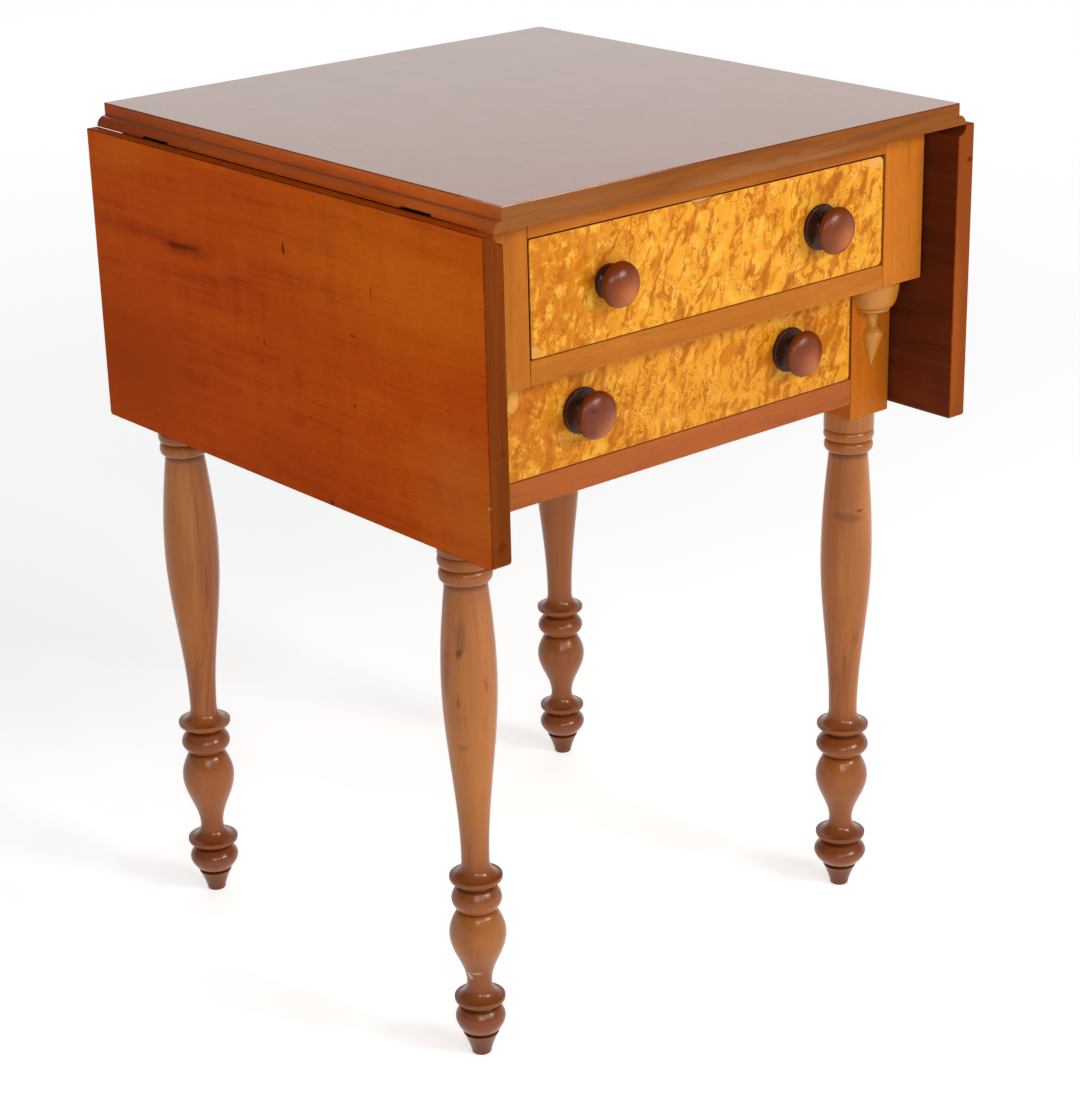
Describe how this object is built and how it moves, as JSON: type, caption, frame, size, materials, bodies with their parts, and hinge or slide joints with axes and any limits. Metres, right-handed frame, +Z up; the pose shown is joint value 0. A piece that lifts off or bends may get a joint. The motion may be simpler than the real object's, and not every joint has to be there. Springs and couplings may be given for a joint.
{
  "type": "drop leaf side table",
  "caption": "Small wooden side table on turned legs, with stacked bird's-eye veneered drawers, an overhanging upper front with split pendants, and a rule-jointed drop leaf on each side.",
  "frame": {"origin": "on the floor, under the middle of the top", "axes": "front with the drawers faces -Y, +X to the right along the front, +Z up"},
  "size_m": [0.5178, 0.5166, 0.73],
  "materials": {
    "polished_top": "polished cherry, glossy",
    "cherry_leaf": "polished red-brown cherry",
    "cherry_case": "polished golden-brown cherry",
    "turned_leg": "polished brown cherry, turned",
    "birdseye_veneer": "polished bird's-eye maple veneer",
    "knob_wood": "polished dark mahogany, turned",
    "pendant_wood": "polished golden fruitwood, turned",
    "inside_wood": "unfinished aged pine",
    "hinge_iron": "dark aged iron"
  },
  "bodies": {
    "case": {"top_board": "polished_top", "leg_front_left": "turned_leg", "leg_front_right": "turned_leg", "leg_back_left": "turned_leg", "leg_back_right": "turned_leg", "top_rail": "cherry_case", "middle_rail": "cherry_case", "lower_rail": "cherry_case", "back_panel": "cherry_case", "stile_left": "cherry_case", "stile_right": "cherry_case", "side_panel_left": "cherry_case", "side_panel_right": "cherry_case", "fly_rail_left": "cherry_case", "fly_rail_right": "cherry_case", "upper_runner_left": "inside_wood", "upper_runner_right": "inside_wood", "lower_runner_left": "inside_wood", "lower_runner_right": "inside_wood", "kicker_left": "inside_wood", "kicker_right": "inside_wood", "pendant_left": "pendant_wood", "pendant_right": "pendant_wood", "hinge_plate_left_front": "hinge_iron", "hinge_plate_left_back": "hinge_iron", "hinge_plate_right_front": "hinge_iron", "hinge_plate_right_back": "hinge_iron", "hinge_pin_left_front": "hinge_iron", "hinge_pin_left_back": "hinge_iron", "hinge_pin_right_front": "hinge_iron", "hinge_pin_right_back": "hinge_iron", "fly_pin_left": "hinge_iron", "fly_pin_right": "hinge_iron"},
    "leaf_left": {"leaf_left": "cherry_leaf", "hinge_flap_left_front": "hinge_iron", "hinge_flap_left_back": "hinge_iron"},
    "leaf_right": {"leaf_right": "cherry_leaf", "hinge_flap_right_front": "hinge_iron", "hinge_flap_right_back": "hinge_iron"},
    "upper_drawer": {"upper_drawer_front": "inside_wood", "upper_drawer_veneer": "birdseye_veneer", "upper_drawer_side_left": "inside_wood", "upper_drawer_side_right": "inside_wood", "upper_drawer_back": "inside_wood", "upper_drawer_bottom": "inside_wood", "upper_drawer_knob_left": "knob_wood", "upper_drawer_knob_right": "knob_wood"},
    "lower_drawer": {"lower_drawer_front": "inside_wood", "lower_drawer_veneer": "birdseye_veneer", "lower_drawer_side_left": "inside_wood", "lower_drawer_side_right": "inside_wood", "lower_drawer_back": "inside_wood", "lower_drawer_bottom": "inside_wood", "lower_drawer_knob_left": "knob_wood", "lower_drawer_knob_right": "knob_wood"},
    "fly_bracket_left": {"fly_bracket_left": "cherry_case"},
    "fly_bracket_right": {"fly_bracket_right": "cherry_case"}
  },
  "joints": [
    {"name": "leaf_left_hinge", "type": "hinge", "parent": "case", "child": "leaf_left", "pos_m": [-0.2404, 0, 0.7115], "axis": [0, 1, 0], "range_deg": [0, 90]},
    {"name": "leaf_right_hinge", "type": "hinge", "parent": "case", "child": "leaf_right", "pos_m": [0.2404, 0, 0.7115], "axis": [0, -1, 0], "range_deg": [0, 90]},
    {"name": "upper_drawer_slide", "type": "slide", "parent": "case", "child": "upper_drawer", "axis": [0, -1, 0], "range_m": [0, 0.3]},
    {"name": "lower_drawer_slide", "type": "slide", "parent": "case", "child": "lower_drawer", "axis": [0, -1, 0], "range_m": [0, 0.3]},
    {"name": "fly_bracket_left_pivot", "type": "hinge", "parent": "case", "child": "fly_bracket_left", "pos_m": [-0.2268, 0.0235, 0.6837], "axis": [0, 0, 1], "range_deg": [0, 2]},
    {"name": "fly_bracket_right_pivot", "type": "hinge", "parent": "case", "child": "fly_bracket_right", "pos_m": [0.2268, 0.0235, 0.6837], "axis": [0, 0, -1], "range_deg": [0, 2]}
  ]
}
